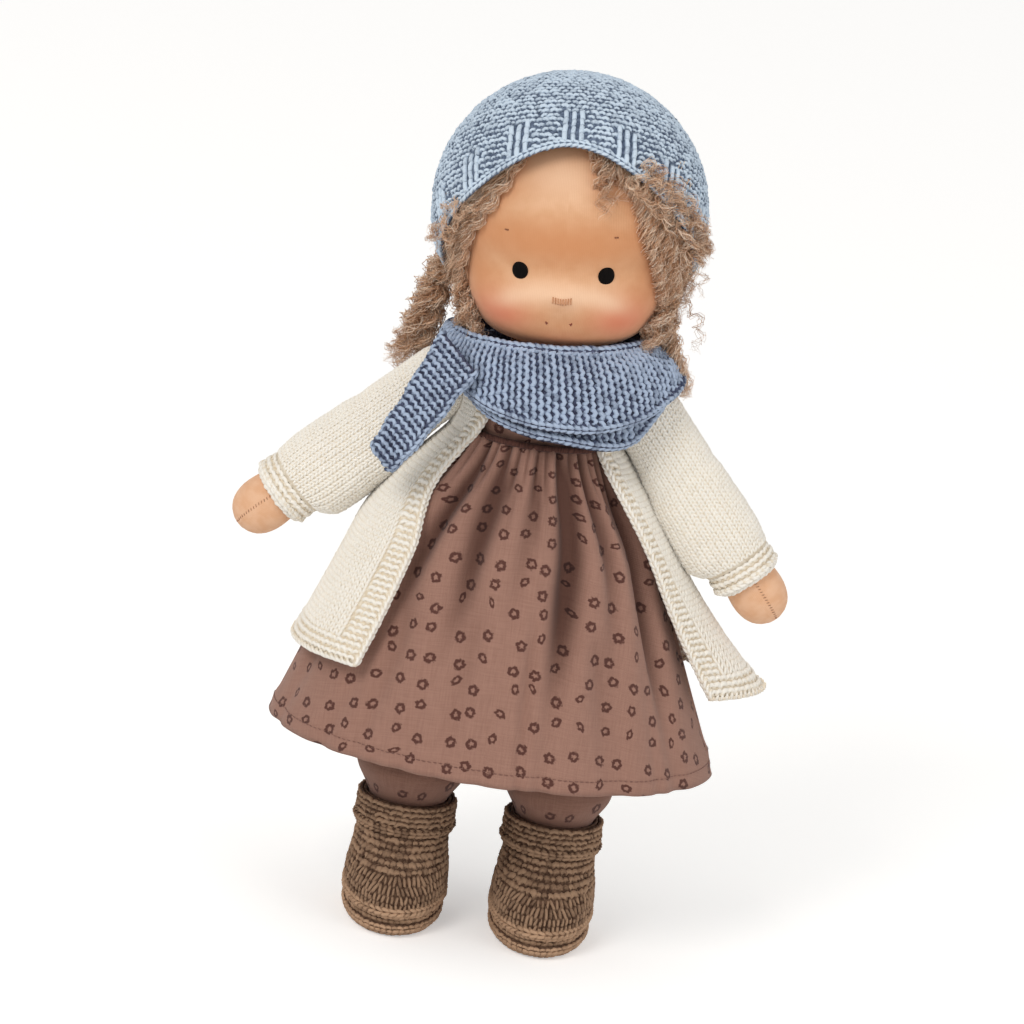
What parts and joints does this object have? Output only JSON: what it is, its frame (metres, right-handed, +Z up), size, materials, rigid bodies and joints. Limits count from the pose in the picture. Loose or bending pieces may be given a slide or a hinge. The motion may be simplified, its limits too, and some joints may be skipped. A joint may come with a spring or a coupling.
{
  "type": "waldorf doll",
  "caption": "Standing stuffed rag doll with a big round head, knitted hat, scarf, open cardigan and boots, and a gathered print dress over trousers.",
  "frame": {"origin": "on the floor, under the middle of the doll's bounding box", "axes": "+Z up from the floor to the crown of the hat, -Y the way the face looks, +X to the doll's own left"},
  "size_m": [0.1884, 0.115, 0.2995],
  "materials": {
    "face_tricot": "fine cotton tricot, warm skin colour with a blush on the cheeks",
    "body_tricot": "fine cotton tricot, stuffed firmly",
    "undyed_wool": "undyed sheep's wool and cotton thread",
    "eye_thread": "satin-stitched embroidery thread, near black",
    "hair_mohair": "curly ash-brown mohair",
    "hat_knit": "knitted wool, blue-grey, garter stitch with ribs at the rim",
    "scarf_knit": "knitted wool, violet-blue garter stitch",
    "cardigan_knit": "knitted wool, cream stocking stitch with garter bands",
    "dress_cloth": "woven cotton, mauve-brown with small dark ring flowers",
    "trouser_cloth": "woven cotton, the dress print a little darker",
    "boot_crochet": "crocheted wool, taupe brown",
    "joint_bead": "plain turned wood"
  },
  "bodies": {
    "torso": {"torso": "body_tricot", "dress_bodice": "dress_cloth", "dress_skirt": "dress_cloth", "cardigan_body": "cardigan_knit", "scarf_upper_wrap": "scarf_knit", "scarf_lower_wrap": "scarf_knit", "scarf_tail": "scarf_knit"},
    "neck": {"neck": "body_tricot", "neck_tie": "undyed_wool"},
    "head": {"head_skin": "face_tricot", "head_wool_ball": "undyed_wool", "left_eye": "eye_thread", "right_eye": "eye_thread", "hair_cap": "hair_mohair", "hat": "hat_knit", "hair_left_lock": "hair_mohair", "hair_right_lock": "hair_mohair", "hair_back_lock_1": "hair_mohair", "hair_back_lock_2": "hair_mohair", "hair_back_lock_3": "hair_mohair"},
    "left_shoulder": {"left_shoulder_bead": "joint_bead"},
    "left_arm": {"left_arm": "body_tricot", "left_sleeve": "cardigan_knit", "left_sleeve_cuff": "cardigan_knit"},
    "right_shoulder": {"right_shoulder_bead": "joint_bead"},
    "right_arm": {"right_arm": "body_tricot", "right_sleeve": "cardigan_knit", "right_sleeve_cuff": "cardigan_knit"},
    "seat": {"seat": "body_tricot", "trouser_seat": "trouser_cloth"},
    "left_leg": {"left_leg": "body_tricot", "left_trouser_leg": "trouser_cloth", "left_boot": "boot_crochet", "left_boot_sole": "boot_crochet", "left_boot_cuff": "boot_crochet"},
    "right_leg": {"right_leg": "body_tricot", "right_trouser_leg": "trouser_cloth", "right_boot": "boot_crochet", "right_boot_sole": "boot_crochet", "right_boot_cuff": "boot_crochet"}
  },
  "joints": [
    {"name": "head_turn", "type": "hinge", "parent": "torso", "child": "neck", "pos_m": [0.00302, 0.00086, 0.209], "axis": [0, 0, 1], "range_deg": [-25, 25], "deforming": ["hair_left_lock", "hair_right_lock", "hair_back_lock_1", "hair_back_lock_2", "hair_back_lock_3"]},
    {"name": "head_nod", "type": "hinge", "parent": "neck", "child": "head", "pos_m": [0.00302, 0.00086, 0.209], "axis": [1, 0, 0], "range_deg": [-15, 4]},
    {"name": "left_arm_swing", "type": "hinge", "parent": "torso", "child": "left_shoulder", "pos_m": [0.03753, 0.00186, 0.188], "axis": [-1, 0, 0], "range_deg": [-30, 45]},
    {"name": "left_arm_raise", "type": "hinge", "parent": "left_shoulder", "child": "left_arm", "pos_m": [0.03753, 0.00186, 0.188], "axis": [0, -1, 0], "range_deg": [-2, 50]},
    {"name": "right_arm_swing", "type": "hinge", "parent": "torso", "child": "right_shoulder", "pos_m": [-0.03148, 0.00186, 0.188], "axis": [-1, 0, 0], "range_deg": [-30, 45]},
    {"name": "right_arm_raise", "type": "hinge", "parent": "right_shoulder", "child": "right_arm", "pos_m": [-0.03148, 0.00186, 0.188], "axis": [0, 1, 0], "range_deg": [-5, 40]},
    {"name": "sit_fold", "type": "hinge", "parent": "torso", "child": "seat", "pos_m": [0.00302, 0.00086, 0.112], "axis": [-1, 0, 0], "range_deg": [0, 75], "deforming": ["dress_skirt"]},
    {"name": "left_leg_swing", "type": "hinge", "parent": "seat", "child": "left_leg", "pos_m": [0.00302, 0.00086, 0.112], "axis": [-1, 0, 0], "range_deg": [-15, 12]},
    {"name": "right_leg_swing", "type": "hinge", "parent": "seat", "child": "right_leg", "pos_m": [0.00302, 0.00086, 0.112], "axis": [-1, 0, 0], "range_deg": [-15, 12]}
  ]
}
